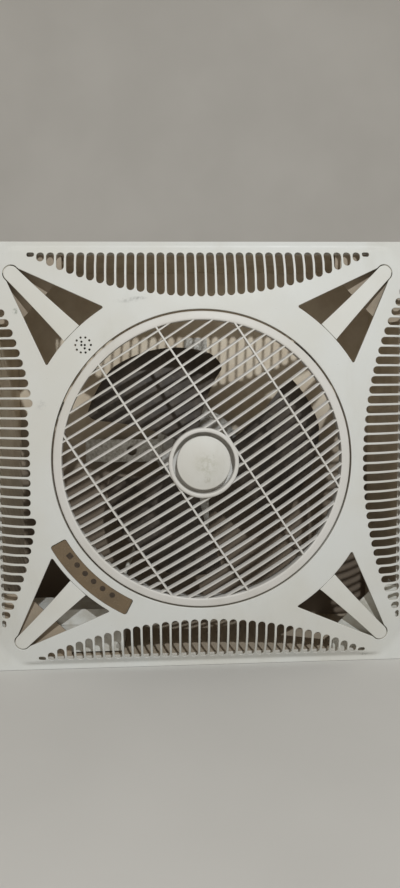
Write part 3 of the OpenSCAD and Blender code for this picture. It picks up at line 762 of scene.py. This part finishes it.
def blade():
    pitch = math.radians(13.0)
    nt, ns = 44, 36
    P = np.zeros((nt + 1, ns + 1, 3))
    for a in range(nt + 1):
        t = a / nt
        for b in range(ns + 1):
            s = -1 + 2 * b / ns
            k = math.sqrt(1 - ((t - 0.86) / 0.14) ** 2 * (0.38 - 0.12 * (1 + s))) if t > 0.86 else 1.0
            a_deg = (45 * s - 4) * (0.5 + 0.5 * t ** 0.75) * k
            tip = 179 - 0.55 * max(0.0, 13 - a_deg) - 0.22 * max(0.0, a_deg - 13)
            r = 24 + (tip - 24) * t
            an = math.radians(a_deg)
            x, y = r * math.cos(an), r * math.sin(an)
            yy = y
            for _ in range(5):
                zz = -300 + math.sqrt(300 ** 2 - yy * yy)
                yy = (y + zz * math.sin(pitch)) / math.cos(pitch)
            zz = -300 + math.sqrt(300 ** 2 - yy * yy)
            P[a, b] = (x, y, IMP + 13 + yy * math.sin(pitch) + zz * math.cos(pitch))
    du = np.gradient(P, axis=0)
    dv = np.gradient(P, axis=1)
    N = np.cross(du, dv)
    N /= np.linalg.norm(N, axis=2)[..., None]
    ta = np.linspace(0, 1, nt + 1)[:, None]
    sa = np.abs(np.linspace(-1, 1, ns + 1))[None, :]
    th = 1.15 * np.sqrt(np.clip(1 - np.clip((sa - 0.93) / 0.085, 0, 1) ** 2, 0.05, 1)) * np.sqrt(np.clip(1 - np.clip((ta - 0.97) / 0.036, 0, 1) ** 2, 0.05, 1))
    sh = Shape()
    up = [[sh.vert(P[a, b] + N[a, b] * th[a, b]) for b in range(ns + 1)] for a in range(nt + 1)]
    dn = [[sh.vert(P[a, b] - N[a, b] * th[a, b]) for b in range(ns + 1)] for a in range(nt + 1)]
    for a in range(nt):
        for b in range(ns):
            sh.face((up[a][b], up[a + 1][b], up[a + 1][b + 1], up[a][b + 1]))
            sh.face((dn[a][b], dn[a][b + 1], dn[a + 1][b + 1], dn[a + 1][b]))
    for a in range(nt):
        sh.face((up[a + 1][0], up[a][0], dn[a][0], dn[a + 1][0]))
        sh.face((up[a][ns], up[a + 1][ns], dn[a + 1][ns], dn[a][ns]))
    for b in range(ns):
        sh.face((up[0][b], up[0][b + 1], dn[0][b + 1], dn[0][b]))
        sh.face((up[nt][b + 1], up[nt][b], dn[nt][b], dn[nt][b + 1]))
    return sh


fan = Shape()
bl = blade()
for a in (121, 1, -119):
    fan.add(bl.turned(math.radians(a)))
fan.add(revolve(rounded([(4.05, IMP + 3), (13, IMP + 3), (13, IMP), (31, IMP), (31, IMP + 26), (4.05, IMP + 26)], [0, 0.4, 0.4, 1.2, 4.5, 0], 5), 96))
fan.make("fan_blades", [m_blade.m], "rotor", ["impeller"], "blade_plastic", 50)

# ---- looks of the CAD parts that stay ---------------------------------------
# housing sheet: the warm brown of its inward faces is painted shade, not the sheet's own white
m_sheet = plain("sheet_with_painted_shade", (0.70, 0.61, 0.48), (0.60, 0.50, 0.375), 26.0, (0.45, 0.65), 0.0, 0.06)
def low_painted_shade(m, low, z0, z1, coated=0.72):
    """Paints shade into a material: on its inward faces the colour darkens towards the floor side of the fan, and
    its outward faces are mixed towards a pale coat colour.
    """
    t, n = m.node_tree, m.node_tree.nodes
    b = n["Principled BSDF"]
    src = b.inputs["Base Color"].links[0].from_socket
    co = n.new("ShaderNodeTexCoord")
    sep = n.new("ShaderNodeSeparateXYZ")
    t.links.new(co.outputs["Object"], sep.inputs[0])
    wob = n.new("ShaderNodeTexNoise")
    wob.inputs["Scale"].default_value = 9.0
    wob.inputs["Detail"].default_value = 4.0
    t.links.new(co.outputs["Object"], wob.inputs["Vector"])
    add = n.new("ShaderNodeMath")
    add.operation = "MULTIPLY_ADD"
    add.inputs[1].default_value = 0.16
    t.links.new(wob.outputs["Fac"], add.inputs[0])
    t.links.new(sep.outputs["Z"], add.inputs[2])
    r = n.new("ShaderNodeMapRange")
    r.interpolation_type = "SMOOTHSTEP"
    r.inputs["From Min"].default_value = z0
    r.inputs["From Max"].default_value = z1
    r.inputs["To Min"].default_value = 1.0
    r.inputs["To Max"].default_value = 0.0
    t.links.new(add.outputs[0], r.inputs["Value"])
    # painted shade: the lower inward faces are mixed towards the dark low colour
    mx = n.new("ShaderNodeMix")
    mx.data_type = "RGBA"
    # inward faces only: they face the middle of the box; the painted shade goes on these faces only
    rel = n.new("ShaderNodeVectorMath")
    rel.operation = "SUBTRACT"
    rel.inputs[1].default_value = (0.0, 0.04, 0.2975)
    t.links.new(co.outputs["Object"], rel.inputs[0])
    dot = n.new("ShaderNodeVectorMath")
    dot.operation = "DOT_PRODUCT"
    t.links.new(rel.outputs["Vector"], dot.inputs[0])
    t.links.new(co.outputs["Normal"], dot.inputs[1])
    inward = n.new("ShaderNodeMath")
    inward.operation = "LESS_THAN"
    inward.inputs[1].default_value = 0.0
    t.links.new(dot.outputs["Value"], inward.inputs[0])
    t.links.new(r.outputs["Result"], mx.inputs[0])
    t.links.new(src, mx.inputs[6])
    mx.inputs[7].default_value = (*low, 1.0)
    coat = n.new("ShaderNodeMix")
    coat.data_type = "RGBA"
    coat.inputs[0].default_value = coated
    t.links.new(src, coat.inputs[6])
    coat.inputs[7].default_value = (0.56, 0.56, 0.54, 1.0)
    side = n.new("ShaderNodeMix")
    side.data_type = "RGBA"
    t.links.new(inward.outputs[0], side.inputs[0])
    t.links.new(coat.outputs[2], side.inputs[6])
    t.links.new(mx.outputs[2], side.inputs[7])
    t.links.new(side.outputs[2], b.inputs["Base Color"])


# painted shade: inward housing faces darken to near black below 0.30 to 0.50 m
low_painted_shade(m_sheet, (0.16, 0.125, 0.092), 0.30, 0.50)
# side sheets: the brown inward colour and the darkening below 0.12 to 0.44 m are painted shade
m_side = plain("side_sheet", (0.70, 0.61, 0.48), (0.60, 0.50, 0.375), 26.0, (0.45, 0.65), 0.0, 0.06)
low_painted_shade(m_side, (0.40, 0.335, 0.255), 0.12, 0.44)
# brackets other than the bottom-right one: their brown and the darkening towards the bottom are painted shade; the
# same bracket at the bottom right is white
m_bracket = plain("bracket_painted_shade", (0.36, 0.295, 0.22), (0.28, 0.225, 0.165), 26.0, (0.5, 0.7), 0.0, 0.06)
low_painted_shade(m_bracket, (0.20, 0.165, 0.125), 0.18, 0.40, 0.0)
m_white = plain("coated_bracket", (0.58, 0.58, 0.54), (0.44, 0.42, 0.36), 40.0, (0.35, 0.55), 0.0, 0.06)
m_zinc = plain("zinc_plate", (0.56, 0.55, 0.52), (0.34, 0.32, 0.28), 220.0, (0.28, 0.5), 0.9, 0.08)
m_motor = plain("cast_shell", (0.50, 0.49, 0.47), (0.26, 0.24, 0.21), 70.0, (0.35, 0.6), 0.7, 0.2)
m_lam = plain("core_plates", (0.34, 0.33, 0.32), (0.17, 0.15, 0.13), 50.0, (0.35, 0.6), 0.8, 0.35, (1, 26, 1))
m_copper = plain("wound_copper", (0.42, 0.17, 0.07), (0.25, 0.09, 0.03), 60.0, (0.3, 0.5), 0.7, 0.5, (1, 22, 1))
m_bronze = plain("bush_bronze", (0.50, 0.33, 0.14), (0.36, 0.22, 0.09), 260.0, (0.35, 0.55), 0.9, 0.12)
m_nylon = plain("nylon", (0.66, 0.65, 0.60), (0.52, 0.50, 0.43), 120.0, (0.4, 0.55), 0.0, 0.06)
m_tyre = plain("tyre_rubber", (0.035, 0.035, 0.036), (0.07, 0.065, 0.06), 160.0, (0.6, 0.8), 0.0, 0.2)
m_black = plain("black_moulding", (0.028, 0.028, 0.030), (0.055, 0.050, 0.045), 140.0, (0.35, 0.55), 0.0, 0.12)
m_board = plain("board_green", (0.035, 0.13, 0.05), (0.02, 0.08, 0.035), 180.0, (0.3, 0.45), 0.0, 0.1)
m_led = plain("led_clear", (0.62, 0.60, 0.54), (0.50, 0.47, 0.38), 300.0, (0.15, 0.25), 0.0, 0.02)
m_box = plain("box_moulding", (0.60, 0.60, 0.57), (0.48, 0.46, 0.41), 50.0, (0.35, 0.55), 0.0, 0.06)
m_case = plain("capacitor_case", (0.55, 0.52, 0.40), (0.44, 0.40, 0.29), 90.0, (0.3, 0.45), 0.0, 0.05)
m_lead = plain("lead_sleeve", (0.56, 0.55, 0.50), (0.40, 0.37, 0.31), 120.0, (0.4, 0.6), 0.0, 0.06)

LOOKS = {
    "motor_bracket": m_zinc, "rear_bell": m_motor, "front_bell": m_motor,
    "stator_core": m_lam, "rotor_core": m_lam, "stator_windings": m_copper, "rear_bearing": m_bronze, "front_bearing": m_bronze,
    "rotor_shaft": m_zinc, "impeller_nut": m_black, "drive_wheel": m_tyre, "louvre_motor": m_motor,
    "idler_left": m_nylon, "idler_bottom": m_nylon, "idler_right": m_nylon,
    "indicator_board": m_board, "control_board": m_board, "indicator_leds": m_led, "infrared_receiver": m_black, "buzzer": m_black,
    "control_box": m_box, "control_box_lid": m_box, "run_capacitor": m_case, "terminal_block": m_nylon,
    "cable_gland": m_black, "gland_nut": m_black, "motor_lead": m_lead, "indicator_lead": m_lead,
}
for name, ob in NODES.items():
    if name == "hanger_bracket_br":
        look = m_white
    elif name.startswith("hanger_bracket"):
        look = m_bracket
    elif name in ("housing", "housing_back"):
        look = m_sheet
    elif name.startswith("housing"):
        look = m_side
    else:
        look = LOOKS.get(name, m_zinc)
    if not ob.material_slots:
        ob.data.materials.append(look)
    for s in ob.material_slots:
        s.material = look

# ---- floor and light --------------------------------------------------------
me = bpy.data.meshes.new("floor")
prof = [(-6.0, 0.0), (1.6, 0.0)] + [(1.6 + 0.8 * math.sin(math.radians(a)), 0.8 - 0.8 * math.cos(math.radians(a))) for a in range(10, 91, 10)] + [(2.4, 4.0)]
vs = [(x, y, z - 0.0002) for x in (-5.0, 5.0) for y, z in prof]
k = len(prof)
me.from_pydata(vs, [], [(i, k + i, k + i + 1, i + 1) for i in range(k - 1)])
me.polygons.foreach_set("use_smooth", [True] * (k - 1))
floor = bpy.data.objects.new("floor", me)
bpy.context.scene.collection.objects.link(floor)
mf = Mat("floor_paint", Roughness=0.7)
mf.color(mf.mix(mf.ramp(mf.noise(2.0, 3.0), 0.3, 0.7), (0.56, 0.55, 0.53), (0.52, 0.51, 0.49)))
me.materials.append(mf.m)

world = bpy.data.worlds.new("world")
bpy.context.scene.world = world
world.use_nodes = True
world.node_tree.nodes["Background"].inputs["Color"].default_value = (1.0, 0.89, 0.74, 1.0)
world.node_tree.nodes["Background"].inputs["Strength"].default_value = 0.36


def lamp(name, where, target, size, power, color):
    d = bpy.data.lights.new(name, "AREA")
    d.shape = "SQUARE"
    d.size = size
    d.energy = power
    d.color = color
    o = bpy.data.objects.new(name, d)
    o.location = where
    o.rotation_euler = (Vector(target) - Vector(where)).to_track_quat("-Z", "Y").to_euler()
    bpy.context.scene.collection.objects.link(o)


lamp("key", (0.45, -2.92, 2.47), (0.0, 0.0, 0.3), 0.07, 84.0, (0.95, 1.0, 1.03))
lamp("fill", (-1.6, -2.2, 0.9), (0.0, 0.0, 0.3), 1.6, 4.0, (1.0, 0.93, 0.84))
bpy.context.scene.view_settings.view_transform = "Standard"
